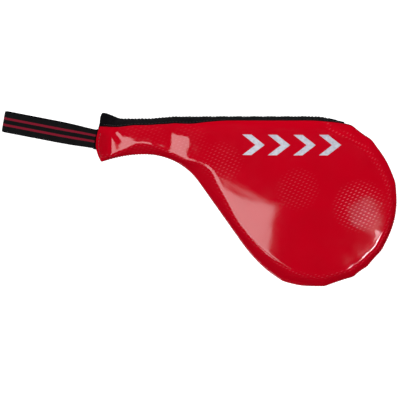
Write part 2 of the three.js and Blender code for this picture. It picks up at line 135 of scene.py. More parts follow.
# The padded ridge round the strike face: (distance along the wrapped edge from the butt's lower
# corner, distance from the edge in to the ridge, softness of the ridge)
RIDGE = [
    (0, 8, 2), (20, 8.5, 2), (38, 14.5, 1.8), (50, 20, 1.5), (64, 17, 1.4),
    (88, 12.5, 1.4), (103, 13, 1.2), (119, 24.5, 1.2), (127, 25.5, 1.2), (143, 20.5, 2.4),
    (163, 18.5, 3), (194, 14, 3), (211, 14.5, 3), (235, 17, 3), (267, 20.5, 3.5),
    (297, 22, 4), (334, 20.5, 3.5), (350, 19.5, 3), (418, 15, 3.2), (456, 11.5, 3.2),
    (503, 12, 3), (588, 12, 4), (645, 10, 4),
]
TOP_RIDGE_INSET = 9
TOP_RIDGE_SOFTNESS = 3
BUTT_RIDGE_INSET = 7
BUTT_RIDGE_SOFTNESS = 3
SIDE_BAND_BULGE = 0.3
SIDE_BAND_OVERRUN = 1.6
RIDGE_SAMPLES = 400
RIDGE_BLUR = 10

# Shape of the padded top: the low dome of the head, and the shallow waist and slope of the grip
DOME_CENTRE = np.array([-5, 30])
DOME_RADIUS = 118
DOME_HEIGHT = 5.8
DOME_SOFTNESS = 1.6
WAIST_X = (-198, -172)
WAIST_DEPTH = 3.6
WAIST_RISE = 0.165
WAIST_SOFTNESS = 0.2
GRIP_SLOPE_START = -220
GRIP_SLOPE = 0.11
GRIP_SLOPE_SOFTNESS = 5
GRIP_ROLL = 0.03
GRIP_ROLL_END_X = (-172, -152)
CROWN_FALL_X = (-150, -115)
GRIP_MID_Y = 88
DENT_PLACE = np.array([-239, 89])
DENT_ANGLE = math.radians(-55)
DENT_SIZE = (5.5, 1.7)
DENT_DEPTH = 1.1

# The sewn lip at the foot of the wrapped side: (distance along the wrapped edge, width)
LIP = [(0, 0.8), (60, 1.2), (110, 2.4), (240, 3.0), (300, 4.0), (326, 4.0), (340, 1.2), (650, 1.2)]
LIP_SLOPE = 0.08

# Where the raised dots of the vinyl are fresh, as (x, y, reach, share of their full size); elsewhere
# they are worn flat. The same zones set how strong the painted glints on the dots' tops are
FRESH_DOTS = [
    (58, 2, 36, 1.0),
    (-18, 24, 36, 0.5),
    (-112, 56, 36, 0.5),
    (-150, 82, 34, 0.42),
    (-205, 84, 46, 0.4),
]
FRESH_FADE = (0.4, 1.3)
WORN_SHARE = 0.14
RIDGE_FRESH_SHARE = 0.6
RIDGE_FRESH_WIDTH = 5

# Places on the round head where the seam stands out, as angles from +X, and by how much
SEAM_LUMPS = [
    (-109, 1.2), (-80, 1.8), (-60, 2.6), (-48.5, 1.8), (-34, 1.2), (14, 1.0), (47, 1.8), (63, 2.4),
]
LUMP_WIDTH = 4.5
LUMP_SQUARENESS = 1.4
LUMPS_START_X = (-75, -30)

# Sheets: thickness, rolled seams and mesh spacing; then the foam under them
COVER_THICKNESS = 1.1
SEAM_ROLL = 0.9
SEAM_ROLL_REACH = 0.9
FRONT_PUFF = 0.15
BACK_PUFF = 1.25
PUFF_REACH = 4
BACK_ROUNDING = (2.5, 6.5)
BACK_ROUNDING_RIM = (3.5, 7.5)
MESH_SPACING = 2.9
BACK_MESH_SPACING = MESH_SPACING * 1.5
FRONT_RING_INSETS = [0, 0.7, 1.4, 2.2, 3.2, 4.6]
BACK_RING_INSETS = [0, 0.8, 1.7, 3.0, 4.8]
RING_SHARE_AT_BUTT = 0.35
RING_GAP = 0.62
CLOTH_STEPS = 20
FOAM_CLEARANCE = 2.6
FOAM_VOXEL = 2.6

# Gusset: how far it stands out, and its gathers as (pitch, height)
GUSSET_BULGE = 1.9
GUSSET_FULLNESS = 0.7
GUSSET_LEAST_HEIGHT = 0.8
GUSSET_THICKNESS = 0.9
GUSSET_FLAT_WIDTH = 30
GUSSET_ROWS = 11
BACK_SEAM_OUT = 0.4
GATHER_LEAN = 1.3
GATHER_FALL = 0.3
GATHERS = [(20, 0.7), (8.7, 0.45), (5.3, 0.3)]

# Wrist loop, as in the CAD strap
STRAP_WIDTH = 25.2
STRAP_THICKNESS = 1.6
STRAP_LENGTH = 115
STRAP_TILT = math.radians(11.1)
STRAP_ROOT = np.array([-267, 80.3, 6.95])
STRAP_ROOT_THICKNESS = 2.7
STRAP_PART_LENGTH = 48
STRAP_JOIN_LENGTH = 18
STRAP_JOINED_SHARE = 0.4
STRAP_INSIDE_BUTT = 9
STRAP_PINCH_ALONG = (0, 30)
STRAP_PINCH_SHARE = 0.06
STRAP_COLUMNS = 15
STRAP_EDGE_THINNING = 0.55
STRAP_EDGE_POWER = 14
STRAP_OPENING_BESIDE = (0.5, 4)
STRAP_OPENING_CLEARANCE = 0.1
STRIPE_PLACES = (4.8, -3.2)
STRIPE_HALF_WIDTH = (1.2, 1.6)
RIB_PITCH = 1.1
YARN_PITCH = 0.8
strap_along = np.array([-math.cos(STRAP_TILT), math.sin(STRAP_TILT), 0])
strap_across = np.array([math.sin(STRAP_TILT), math.cos(STRAP_TILT), 0])

# Embossed dots of the vinyl: pitch, turn from +X in degrees and height. Their foot's radius and the
# half-lengths of the painted glint on each are shares of the pitch
DOT_PITCH = 4.5
DOT_TURN = 26
DOT_HEIGHT = 0.09
DOT_FOOT = 0.44
PAINTED_GLINT_SIZE = (0.36, 0.15)

# A crease pressed into the vinyl along the grip, and the drop across it
CREASE_START = (-225, 83)
CREASE_END = (-171, 75)
CREASE_DROP = 0.15
CREASE_WIDTH = 1.7
CREASE_START_FADE = (-6, 4)
CREASE_END_FADE = (3, -6)

# Rows of stitches, as (pitch, stitch length, thread radius)
CLOSING_STITCHES = (4.5, 3.3, 0.42)
WRAPPED_STITCHES = (3.6, 2.4, 0.34)
GUSSET_STITCHES = (4.2, 3.0, 0.36)
CLOSING_INSET = 5.0
WRAPPED_INSET = 0.7
ROW_MARGIN = 5.0
STITCH_POINTS = 7
STITCH_SIDES = 8

# Printed mark, as in the CAD chevrons
CHEVRON_ARM = 11
PRINT_THICKNESS = 0.25
PRINT_CLEARANCE = 0.05
PRINT_BORDER_SPACING = 1.2
PRINT_MESH_SPACING = 1.3
PRINT_BORDER_GAP = 0.7


# ---- small tools


def smoothstep(x, low, high):
    t = np.clip((np.asarray(x, float) - low) / (high - low), 0, 1)
    return t * t * (3 - 2 * t)


def lerp(a, b, t):
    return a + (b - a) * t


def smooth_min(a, b, softness):
    """The lower of a and b, rounded over where they cross."""
    h = np.clip(0.5 + 0.5 * (b - a) / softness, 0, 1)
    return lerp(b, a, h) - softness * h * (1 - h)


def sag(radius, along):
    return radius - np.sqrt(np.maximum(radius**2 - along**2, 0))


def bezier(points, t):
    """A Bezier curve of any degree through de Casteljau's steps."""
    level = [np.outer(np.ones_like(t), p) for p in points]
    while len(level) > 1:
        level = [a + (b - a) * t[:, None] for a, b in zip(level, level[1:])]
    return level[0]


def lengths_along(points):
    steps = np.linalg.norm(np.diff(points, axis=0), axis=1)
    return np.concatenate([[0], np.cumsum(steps)])


def resample(points, count):
    """count points evenly along the curve, leaving out its last point."""
    along = lengths_along(points)
    wanted = np.linspace(0, along[-1], count, endpoint=False)
    return np.column_stack([np.interp(wanted, along, points[:, k]) for k in range(points.shape[1])])


def unit(v):
    return v / np.maximum(np.linalg.norm(v, axis=-1, keepdims=True), 1e-9)


# ---- outline of the covers


def collapse(x):
    """1 where the covers are sewn flat at the butt, falling to 0 along the grip."""
    return 1 - smoothstep(x, *BUTT_COLLAPSE_X)


def top_collapse(x):
    """The same for the padded top, which keeps its height nearer to the butt."""
    return 1 - smoothstep(x, *TOP_COLLAPSE_X)


def grip_share(x):
    """1 along the grip, falling to 0 at the blade."""
    return 1 - smoothstep(x, GRIP_SHARE_START_X, GRIP_END_X)


def crown_height(x):
    over_grip = 1 - smoothstep(x, *CROWN_FALL_X)
    return lerp(lerp(BLADE_CROWN, GRIP_CROWN, over_grip), BUTT_CROWN, top_collapse(x))


def butt_lift(x):
    """How far the back cover's underside rises off the floor towards the butt."""
    return BUTT_LIFT * (1 - smoothstep(x, *BUTT_LIFT_X))


def under_y(x):
    radius = np.where(np.asarray(x) < NECK_X, BUTT_FLARE_RADIUS, NECK_RADIUS)
    return NECK_UNDER_Y - sag(radius, x - NECK_X)


def grip_top_y(x):
    return STRAIGHT_TOP_Y - GRIP_TOP_DIP * (1 - smoothstep(x, *GRIP_TOP_DIP_X))


def back_top_y(x):
    return grip_top_y(x) + BUTT_EAR_RISE * (1 - smoothstep(x, BUTT_BACK_TOP_X, BUTT_EAR_END_X))


def front_top_y(x):
    """The front cover's straight side, which the gusset pulls in along the grip."""
    far_start, far_end, near_start, near_end = FRONT_TOP_DROP_X
    dip_x, dip_width = FRONT_TOP_DIP_X
    drop = FRONT_TOP_DROP * smoothstep(x, far_start, far_end) * (1 - smoothstep(x, near_start, near_end))
    dip = FRONT_TOP_DIP * np.exp(-(((x - dip_x) / dip_width) ** 2))
    butt_drop = BUTT_FRONT_DROP * (1 - smoothstep(x, BUTT_FRONT_TOP_X, BUTT_FRONT_DROP_END_X))
    return grip_top_y(x) - butt_drop - drop - dip


def outline_stretches(top_y, butt_top_x):
    """The stretches of the outline, counter-clockwise from the butt's lower corner."""
    t = np.linspace(0, 1, OUTLINE_SAMPLES)
    x = lerp(BUTT_UNDER_X, GRIP_END_X, t)
    under = np.column_stack([x, under_y(x)])
    centre = np.array([NECK_X, NECK_UNDER_Y - NECK_RADIUS])
    angle = lerp(math.asin((GRIP_END_X - NECK_X) / NECK_RADIUS), NECK_END_ANGLE, t)
    neck = centre + NECK_RADIUS * np.column_stack([np.sin(angle), np.cos(angle)])
    cheek_line = bezier([neck[-1], CHEEK[0]], t)
    cheek = bezier(CHEEK, t)
    angle = lerp(-math.pi / 2, math.pi / 2, t)
    head = HEAD_RADIUS * np.column_stack([np.cos(angle), np.sin(angle)])
    x = lerp(0, GRIP_END_X, t)
    blade_top = np.column_stack([x, top_y(x)])
    x = lerp(GRIP_END_X, butt_top_x, t)
    grip_top = np.column_stack([x, top_y(x)])
    butt = bezier([grip_top[-1], BUTT_BULGE, under[0]], t)
    return [under, neck, cheek_line, cheek, head, blade_top, grip_top, butt]


def lump_offset(points):
    """How far the sewn edge stands out at its lumps on the round head."""
    angle = np.degrees(np.arctan2(points[:, 1], points[:, 0]))
    out = np.zeros(len(points))
    for place, height in SEAM_LUMPS:
        out += height * np.exp(-((np.abs(angle - place) / LUMP_WIDTH) ** LUMP_SQUARENESS))
    return out * smoothstep(points[:, 0], *LUMPS_START_X)


class Outline:
    """One cover's edge: evenly spaced points, with the heights and directions there."""

    def __init__(self, top_y, butt_top_x, counts):
        stretches = outline_stretches(top_y, butt_top_x)
        self.points = np.vstack([resample(s, n) for s, n in zip(stretches, counts)])
        starts = np.concatenate([[0], np.cumsum(counts)])
        self.head_start, self.top_start, self.butt_start = starts[4], starts[5], starts[7]
        self.count = len(self.points)
        self.points = self.points + self.outward() * lump_offset(self.points)[:, None]
        self.share = self.gusset_share()
        x = self.points[:, 0]
        flat = collapse(x)
        self.seam = lerp(SEAM_HEIGHT, BUTT_SEAM_HEIGHT, flat)
        gusset_top = lerp(lerp(BLADE_GUSSET_TOP, GRIP_GUSSET_TOP, grip_share(x)), BUTT_GUSSET_TOP, flat)
        self.front_rim = lerp(self.seam, gusset_top, self.share)
        back_rim = GUSSET_BACK_RIM + BUTT_RIM_LIFT_SHARE * butt_lift(x)
        self.back_rim = lerp(self.seam, back_rim, self.share)
        self.open_for_strap()

    def outward(self):
        """Mitred outward direction at each point."""
        before = unit(self.points - np.roll(self.points, 1, axis=0))
        after = unit(np.roll(self.points, -1, axis=0) - self.points)
        total = before + after
        mitre = np.column_stack([total[:, 1], -total[:, 0]])
        return mitre / (1 + np.sum(before * after, axis=1))[:, None]

    def gusset_share(self):
        """1 where the side wall is the black gusset, 0 where the front cover wraps down."""
        share = np.zeros(self.count)
        head = np.arange(self.head_start, self.top_start)
        steps = self.top_start - self.head_start
        angle = lerp(-math.pi / 2, math.pi / 2, (head - self.head_start) / steps)
        share[head] = smoothstep(angle, GUSSET_END_ANGLE, GUSSET_FULL_ANGLE)
        share[self.top_start : self.butt_start + 1] = 1
        return share

    def open_for_strap(self):
        """Parts the two rims at the butt by the strap's own thickness."""
        across = (self.points - STRAP_ROOT[:2]) @ strap_across[:2]
        near, far = STRAP_OPENING_BESIDE
        beside = 1 - smoothstep(np.abs(across), STRAP_WIDTH / 2 + near, STRAP_WIDTH / 2 + far)
        opening = beside * (np.arange(self.count) > self.butt_start)
        above = STRAP_ROOT[2] + STRAP_ROOT_THICKNESS / 2 + STRAP_OPENING_CLEARANCE
        below = STRAP_ROOT[2] - STRAP_ROOT_THICKNESS / 2 - STRAP_OPENING_CLEARANCE
        self.front_rim = lerp(self.front_rim, above, opening)
        self.back_rim = lerp(self.back_rim, below, opening)


def stretch_counts():
    stretches = outline_stretches(front_top_y, BUTT_FRONT_TOP_X)
    return [max(2, round(lengths_along(s)[-1] / MESH_SPACING)) for s in stretches]


counts = stretch_counts()
front_line = Outline(front_top_y, BUTT_FRONT_TOP_X, counts)
back_line = Outline(back_top_y, BUTT_BACK_TOP_X, counts)


class Edge:
    """A part of an outline that one padded side band runs along."""

    def __init__(self, outline, first, last, rim):
        index = np.arange(first, last + 1) % outline.count
        self.points = outline.points[index]
        self.rim = rim[index]
        self.out = unit(outline.outward()[index])
        self.along = lengths_along(self.points)

    def nearest(self, places):
        """For each place: its distance to the edge, and how far along the edge the nearest point is."""
        best = np.full(len(places), 1e9)
        where = np.zeros(len(places))
        starts, steps = self.points[:-1], np.diff(self.points, axis=0)
        squared = np.sum(steps**2, axis=1)
        for i, (start, step) in enumerate(zip(starts, steps)):
            offset = places - start
            t = np.clip(offset @ step / squared[i], 0, 1)
            gap = offset - t[:, None] * step
            distance = np.hypot(gap[:, 0], gap[:, 1])
            closer = distance < best
            best[closer] = distance[closer]
            where[closer] = self.along[i] + t[closer] * (self.along[i + 1] - self.along[i])
        return best, where

    def at(self, values, where):
        return np.interp(where, self.along, values)

    def outward_at(self, where):
        return unit(np.column_stack([self.at(self.out[:, k], where) for k in range(2)]))


# ---- height of the padded strike face

head_steps = front_line.top_start - front_line.head_start
wrapped_end = front_line.head_start + round(WRAPPED_HEAD_SHARE * head_steps)
wrapped_edge = Edge(front_line, 0, wrapped_end, front_line.front_rim)
top_edge = Edge(front_line, wrapped_end, front_line.butt_start, front_line.front_rim)
butt_edge = Edge(front_line, front_line.butt_start, front_line.count, front_line.front_rim)


def side_band(plateau, rim, distance, inset, lip=0.0):
    """Height of a side band that rises from the rim to the plateau over the given inset. A sewn lip
    of the given width may lie nearly flat at its foot."""
    t = np.clip((distance - lip) / (inset - lip), 0, SIDE_BAND_OVERRUN)
    share = (1 + SIDE_BAND_BULGE) * t - SIDE_BAND_BULGE * t * t
    foot = rim + LIP_SLOPE * np.minimum(distance, lip)
    return foot + (plateau - foot) * share


def ridge_values(where):
    """The ridge's inset and softness along the wrapped edge, smoothed between their stops."""
    stops = np.array(RIDGE, float)
    smooth = np.linspace(stops[0, 0], stops[-1, 0], RIDGE_SAMPLES)
    window = np.hanning(2 * RIDGE_BLUR + 1)
    kernel = window / window.sum()
    result = []
    for column in (1, 2):
        values = np.interp(smooth, stops[:, 0], stops[:, column])
        padded = np.pad(values, RIDGE_BLUR, mode="edge")
        result.append(np.interp(where, smooth, np.convolve(padded, kernel, mode="valid")))
    return result


def dome(places):
    """Height of the head's dome over the padded top, falling softly to nothing round it."""
    away = np.linalg.norm(places - DOME_CENTRE, axis=1)
    return -smooth_min(DOME_HEIGHT * ((away / DOME_RADIUS) ** 2 - 1), 0.0, DOME_SOFTNESS)


def plateau_height(places):
    """Height of the padded top, without its sloping sides."""
    x, y = places[:, 0], places[:, 1]
    start, middle = WAIST_X
    fall = WAIST_DEPTH * smoothstep(x, start, middle)
    rise = smooth_min(np.maximum(WAIST_RISE * (x - middle), 0), WAIST_DEPTH, WAIST_SOFTNESS)
    slope = GRIP_SLOPE * (GRIP_SLOPE_START - smooth_min(x, GRIP_SLOPE_START, GRIP_SLOPE_SOFTNESS))
    roll = GRIP_ROLL * (GRIP_MID_Y - y) * (1 - smoothstep(x, *GRIP_ROLL_END_X))
    offset = places - DENT_PLACE
    along = offset @ np.array([math.cos(DENT_ANGLE), math.sin(DENT_ANGLE)])
    beside = offset @ np.array([-math.sin(DENT_ANGLE), math.cos(DENT_ANGLE)])
    dent = DENT_DEPTH * np.exp(-((along / DENT_SIZE[0]) ** 2) - (beside / DENT_SIZE[1]) ** 2)
    lowered = fall - rise + (slope + roll + dent) * (1 - top_collapse(x))
    return crown_height(x) + dome(places) - lowered


def front_height(places):
    """Height of the front cover over each (x, y) place of its plan."""
    from_wrapped, at_wrapped = wrapped_edge.nearest(places)
    plateau = plateau_height(places)
    inset, softness = ridge_values(at_wrapped)
    lip = np.interp(at_wrapped, *np.array(LIP, float).T)
    foot = wrapped_edge.at(wrapped_edge.rim, at_wrapped)
    height = smooth_min(plateau, side_band(plateau, foot, from_wrapped, inset, lip), softness)
    for edge, inset, softness in (
        (top_edge, TOP_RIDGE_INSET, TOP_RIDGE_SOFTNESS),
        (butt_edge, BUTT_RIDGE_INSET, BUTT_RIDGE_SOFTNESS),
    ):
        distance, where = edge.nearest(places)
        band = side_band(plateau, edge.at(edge.rim, where), distance, inset)
        height = smooth_min(height, band, softness)
    return height


def dot_relief_and_glint_share(places):
    """1 where the vinyl's dots still stand up and their painted glints are strongest, down to the worn
    share.
    """
    from_wrapped, at_wrapped = wrapped_edge.nearest(places)
    inset, _ = ridge_values(at_wrapped)
    dot_relief_and_glint = RIDGE_FRESH_SHARE * np.exp(-(((from_wrapped - inset) / RIDGE_FRESH_WIDTH) ** 2))
    start, end = FRESH_FADE
    for x, y, reach, size in FRESH_DOTS:
        away = np.hypot(places[:, 0] - x, places[:, 1] - y)
        dot_relief_and_glint = np.maximum(dot_relief_and_glint, size * (1 - smoothstep(away, start * reach, end * reach)))
    return np.maximum(dot_relief_and_glint, WORN_SHARE)


def back_height(places, distance, where, edge):
    """Height of the back cover's underside: a shallow tray that rests on its flat middle."""
    rim = edge.at(edge.rim, where)
    rounding = lerp(*BACK_ROUNDING, smoothstep(rim, *BACK_ROUNDING_RIM))
    turned = np.sin(np.clip(distance / rounding, 0, 1) * math.pi / 2)
    return lerp(rim, butt_lift(places[:, 0]), turned)


# ---- meshes


def add_object(name, data):
    thing = bpy.data.objects.new(name, data)
    bpy.context.scene.collection.objects.link(thing)
    return thing


def make_piece(name, points, faces):
    """A mesh object from points in millimetres, linked to the scene and smooth shaded."""
    mesh = bpy.data.meshes.new(name)
    corners = (np.asarray(points, float) * MM).tolist()
    mesh.from_pydata(corners, [], [tuple(map(int, f)) for f in faces])
    mesh.update()
    piece = add_object(name, mesh)
    mesh.shade_smooth()
    return piece


def points_of(piece):
    """The piece's vertices in millimetres."""
    co = np.zeros(len(piece.data.vertices) * 3)
    piece.data.vertices.foreach_get("co", co)
    return co.reshape(-1, 3) / MM


def set_points(piece, points):
    piece.data.vertices.foreach_set("co", (points * MM).ravel())
    piece.data.update()


def set_number(piece, name, values):
    """Stores a number on each vertex."""
    layer = piece.data.attributes.new(name, "FLOAT", "POINT")
    layer.data.foreach_set("value", np.asarray(values, np.float32))


def set_flat_place(piece, name, along, across):
    """Stores each vertex's place on the flat sheet, given in millimetres and kept in metres."""
    places = np.column_stack([along, across, np.zeros(len(along))]) * MM
    layer = piece.data.attributes.new(name, "FLOAT_VECTOR", "POINT")
    layer.data.foreach_set("vector", np.asarray(places, np.float32).ravel())


def apply_modifiers(piece):
    """Replaces the piece's mesh by its evaluated one, and drops the modifiers."""
    depsgraph = bpy.context.evaluated_depsgraph_get()
    evaluated = bpy.data.meshes.new_from_object(piece.evaluated_get(depsgraph), depsgraph=depsgraph)
    piece.modifiers.clear()
    piece.data = evaluated


def subdivide(piece):
    modifier = piece.modifiers.new("smooth", "SUBSURF")
    modifier.levels = modifier.render_levels = 1
    apply_modifiers(piece)


def thicken(piece, thickness):
    """Turns the sheet into a solid of the given thickness that lies under it."""
    modifier = piece.modifiers.new("thickness", "SOLIDIFY")
    modifier.thickness = thickness * MM
    modifier.offset = -1.0
    modifier.use_even_offset = True
    modifier.thickness_clamp = 1.5
    apply_modifiers(piece)
    piece.data.set_sharp_from_angle(angle=math.radians(60))


def relax(points, faces, fixed, rounds):
    """Moves every free point half way to the middle of its neighbours, the given number of times."""
    edges = set()
    for face in faces:
        for a, b in zip(face, list(face[1:]) + [face[0]]):
            edges.add((min(a, b), max(a, b)))
    edges = np.array(sorted(edges))
    count = np.zeros(len(points))
    np.add.at(count, edges[:, 0], 1)
    np.add.at(count, edges[:, 1], 1)
    free = ~fixed
    for _ in range(rounds):
        total = np.zeros_like(points)
        np.add.at(total, edges[:, 0], points[edges[:, 1]])
        np.add.at(total, edges[:, 1], points[edges[:, 0]])
        middle = total / count[:, None]
        points[free] += 0.5 * (middle[free] - points[free])
    return points


def quads(rows, count, start=0, closed=True, flipped=False):
    """The quads between neighbouring rows of count points each, numbered on from start."""
    faces = []
    for first in range(start, start + (rows - 1) * count, count):
        for i in range(count if closed else count - 1):
            a, b = first + i, first + (i + 1) % count
            c, d = b + count, a + count
            faces.append((a, d, c, b) if flipped else (a, b, c, d))
    return faces


def lattice(low, high, spacing):
    """Points of a triangular lattice over the box."""
    rows = np.arange(low[1], high[1], spacing * math.sqrt(3) / 2)
    points = []
    for i, y in enumerate(rows):
        x = np.arange(low[0] + (i % 2) * spacing / 2, high[0], spacing)
        points.append(np.column_stack([x, np.full(len(x), y)]))
    return np.vstack(points)


def triangulate(points, border_count):
    """Triangles over the points, inside the closed border that the first of them make."""
    border = [(i, (i + 1) % border_count) for i in range(border_count)]
    return geometry.delaunay_2d_cdt([Vector(p) for p in points], border, [], 1, 1e-5)


def fill_plan(outline, insets, spacing):
    """A plan mesh of the outline: quads in rings beside the edge, and even triangles inside them."""
    narrowing = lerp(1, RING_SHARE_AT_BUTT, collapse(outline.points[:, 0]))
    inward = -outline.outward() * narrowing[:, None]
    rings = [outline.points + inward * inset for inset in insets]
    n = outline.count
    faces = quads(len(rings), n)
    edge = Edge(outline, 0, n, outline.front_rim)
    inner = rings[-1]
    candidates = lattice(inner.min(0), inner.max(0), spacing)
    candidates = candidates[inside(candidates, inner)]
    distance, _ = edge.nearest(candidates)
    candidates = candidates[distance > insets[-1] + RING_GAP * spacing]
    plan = np.vstack([inner, candidates])
    filled = triangulate(plan, n)
    start = (len(rings) - 1) * n
    if any(len(sources) != 1 for sources in filled[3]):
        raise RuntimeError("the plan's points changed when it was filled")
    order = [sources[0] for sources in filled[3]]
    for face in filled[2]:
        faces.append(tuple(start + order[k] for k in face))
    return np.vstack([*rings[:-1], plan]), faces


def inside(places, polygon):
    """True for the places inside a closed polygon."""
    result = np.zeros(len(places), bool)
    x, y = places[:, 0], places[:, 1]
    for a, b in zip(polygon, np.roll(polygon, -1, axis=0)):
        crosses = (a[1] > y) != (b[1] > y)
        with np.errstate(divide="ignore", invalid="ignore"):
            at = a[0] + (y - a[1]) * (b[0] - a[0]) / (b[1] - a[1])
        result ^= crosses & (x < at)
    return result


def inflate(piece, faces, pinned, pressure, stiffness, cap, wrinkles):
    """Blows the cloth out like a stuffed cover for a moment. The swelling is kept under cap, and the
    wrinkles in it are taken over at the given share."""
    before = points_of(piece)
    group = piece.vertex_groups.new(name="seam")
    group.add([int(i) for i in np.flatnonzero(pinned)], 1.0, "REPLACE")
    cloth = piece.modifiers.new("cloth", "CLOTH")
    settings = cloth.settings
    settings.quality = 5
    settings.mass = 0.3
    settings.tension_stiffness = stiffness
    settings.compression_stiffness = stiffness
    settings.shear_stiffness = stiffness
    settings.bending_stiffness = 1.0
    settings.use_pressure = True
    settings.uniform_pressure_force = pressure
    settings.effector_weights.gravity = 0
    settings.vertex_group_mass = "seam"
    cloth.collision_settings.use_collision = False
    scene = bpy.context.scene
    for step in range(1, CLOTH_STEPS + 1):
        scene.frame_set(step)
    apply_modifiers(piece)
    scene.frame_set(1)
    piece.vertex_groups.clear()
    move = points_of(piece) - before
    swelling = relax(move.copy(), faces, pinned, rounds=40)
    fine = relax(move.copy(), faces, pinned, rounds=2) - swelling
    length = np.linalg.norm(swelling, axis=1, keepdims=True)
    limited = swelling * cap * np.tanh(length / cap) / np.maximum(length, 1e-9)
    set_points(piece, before + limited + wrinkles * fine)


def rolled_out(distance, puff):
    """How far a cover stands out beyond its plan, near the seam that it rolls into."""
    roll = -SEAM_ROLL * np.exp(-distance / SEAM_ROLL_REACH)
    return roll + puff * (distance / PUFF_REACH) * np.exp(1 - distance / PUFF_REACH)


# ---- front cover


def front_cover():
    plan, faces = fill_plan(front_line, FRONT_RING_INSETS, MESH_SPACING)
    whole = Edge(front_line, 0, front_line.count, front_line.front_rim)
    distance, where = whole.nearest(plan)
    out = whole.outward_at(where)
    height = front_height(plan)
    points = np.column_stack([plan + out * rolled_out(distance, FRONT_PUFF)[:, None], height])
    piece = make_piece("front_cover_vinyl", points, faces)
    set_number(piece, "dot_relief_and_glint", dot_relief_and_glint_share(plan))
    set_flat_place(piece, "plan", *plan.T)
    pinned = distance < 0.01  # the outermost ring, which is sewn down
    inflate(piece, faces, pinned, pressure=4.0, stiffness=15.0, cap=0.35, wrinkles=0.08)
    subdivide(piece)
    thicken(piece, COVER_THICKNESS)
    return piece


# ---- back cover


def back_cover():
    plan, faces = fill_plan(back_line, BACK_RING_INSETS, BACK_MESH_SPACING)
    whole = Edge(back_line, 0, back_line.count, back_line.back_rim)
    distance, where = whole.nearest(plan)
    out = whole.outward_at(where)
    height = back_height(plan, distance, where, whole)
    points = np.column_stack([plan + out * rolled_out(distance, BACK_PUFF)[:, None], height])
    faces = [tuple(reversed(f)) for f in faces]
    piece = make_piece("back_cover_vinyl", points, faces)
    set_flat_place(piece, "plan", *plan.T)
    subdivide(piece)
    thicken(piece, COVER_THICKNESS)
    return piece


# ---- black gusset


def gusset_index():
    """Outline points where the covers stand far enough apart for the gusset."""
    tall = front_line.front_rim - back_line.back_rim > GUSSET_LEAST_HEIGHT
    return np.flatnonzero(tall & (np.arange(front_line.count) <= front_line.butt_start))


def gusset_row(share):
    """One line along the gathered band, from the front seam at share 0 to the back seam at share 1."""
    index = gusset_index()

    def seam(line, rim):
        inset = line.points - unit(line.outward()) * SEAM_ROLL
        return np.column_stack([inset, rim])[index]

    top = seam(front_line, front_line.front_rim)
    low = seam(back_line, back_line.back_rim)
    out = np.column_stack([unit(back_line.outward()), np.zeros(back_line.count)])[index]
    along = lengths_along(top)
    bulge = np.sin(math.pi * share) ** GUSSET_FULLNESS
    gathers = np.zeros_like(along)
    for pitch, height in GATHERS:
        gathers += height * np.sin(along * 2 * math.pi / pitch + GATHER_LEAN * share + pitch)
    gathers *= share * (1 - GATHER_FALL * share)
    stand_out = GUSSET_BULGE * bulge + gathers * bulge + SEAM_ROLL * BACK_SEAM_OUT * share
    return lerp(top, low, share) + out * stand_out[:, None]


def gusset():
    """The gathered fabric band between the two covers, along the straight side."""
    shares = np.linspace(0, 1, GUSSET_ROWS)
    grid = [gusset_row(share) for share in shares]
    n, rows = len(grid[0]), len(grid)
    faces = quads(rows, n, closed=False, flipped=True)
    piece = make_piece("gusset_fabric", np.vstack(grid), faces)
    along = np.tile(lengths_along(grid[0]), rows)
    set_flat_place(piece, "sheet", along, np.repeat(shares * GUSSET_FLAT_WIDTH, n))
    subdivide(piece)
    thicken(piece, GUSSET_THICKNESS)
    return piece


# ---- foam


def foam_block(name, node):
    """An evenly meshed copy of a CAD foam, with its top trimmed to lie under the finished cover."""
    piece = add_object(name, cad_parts[node].data.copy())
    remesh = piece.modifiers.new("even", "REMESH")
    remesh.mode = "VOXEL"
    remesh.voxel_size = FOAM_VOXEL * MM
    apply_modifiers(piece)
    points = points_of(piece)
    ceiling = front_height(points[:, :2]) - FOAM_CLEARANCE
    points[:, 2] = np.minimum(points[:, 2], ceiling)
    set_points(piece, points)
    piece.data.shade_smooth()
    return piece


# ---- wrist loop


def loop_path():
    """Middle line of the folded webbing in its side view, as (distance from the butt, height)."""
    low = strap_low[2] + STRAP_THICKNESS / 2
    high = strap_high[2] - STRAP_THICKNESS / 2
    middle = (low + high) / 2
    fold = (high - low) / 2
    fold_at = STRAP_LENGTH - fold - STRAP_THICKNESS / 2
    root_low = STRAP_ROOT[2] - STRAP_ROOT_THICKNESS / 4
    root_high = STRAP_ROOT[2] + STRAP_ROOT_THICKNESS / 4
    start = STRAP_JOIN_LENGTH * STRAP_JOINED_SHARE
    third = (STRAP_PART_LENGTH - start) / 3
    root = np.column_stack([np.linspace(-STRAP_INSIDE_BUTT, start, 12), np.full(12, root_low)])
    bend_points = [
        (start, root_low),
        (start + third, root_low),
        (STRAP_PART_LENGTH - third, low),
        (STRAP_PART_LENGTH, low),
    ]
    bend = bezier(bend_points, np.linspace(0, 1, 26))
    run = np.column_stack([np.linspace(STRAP_PART_LENGTH, fold_at, 34), np.full(34, low)])
    angle = np.linspace(-math.pi / 2, 0, 8)
    turn = np.column_stack([fold_at + fold * np.cos(angle), middle + fold * np.sin(angle)])
    lower = np.vstack([root[:-1], bend[:-1], run[:-1], turn])
    returning = lower[::-1][1:]
    upper = returning.copy()
    upper[:, 1] = np.interp(returning[:, 1], [low, root_low], [high, root_high])
    in_fold = returning[:, 0] >= fold_at
    upper[in_fold, 1] = 2 * middle - returning[in_fold, 1]
    return np.vstack([lower, upper])


